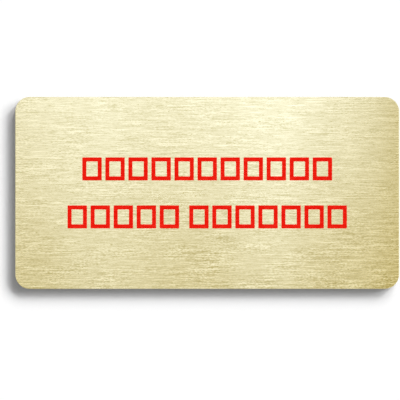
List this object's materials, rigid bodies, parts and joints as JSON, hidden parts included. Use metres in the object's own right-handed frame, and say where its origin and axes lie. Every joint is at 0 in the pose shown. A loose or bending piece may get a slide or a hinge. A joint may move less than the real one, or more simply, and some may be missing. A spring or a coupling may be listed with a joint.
{
  "type": "authorised personnel only sign",
  "caption": "Flat rounded rectangular plate of brushed gold-coloured metal with raised red print marks in lines, bonded by its plain back to a door or wall.",
  "frame": {"origin": "centre of the flat back face, the face by which the sign is fixed and on which it lies", "axes": "+X along the lines of print, +Y to the sign's top edge, +Z out of the printed front"},
  "size_m": [0.16, 0.08, 0.0016],
  "materials": {
    "brushed_gold": "gold anodised, brushed along the lines of print",
    "red_ink": "cured opaque print ink"
  },
  "bodies": {
    "root": {"sign_plate": "brushed_gold", "print_upper_line": "red_ink", "print_lower_line": "red_ink"}
  },
  "joints": []
}
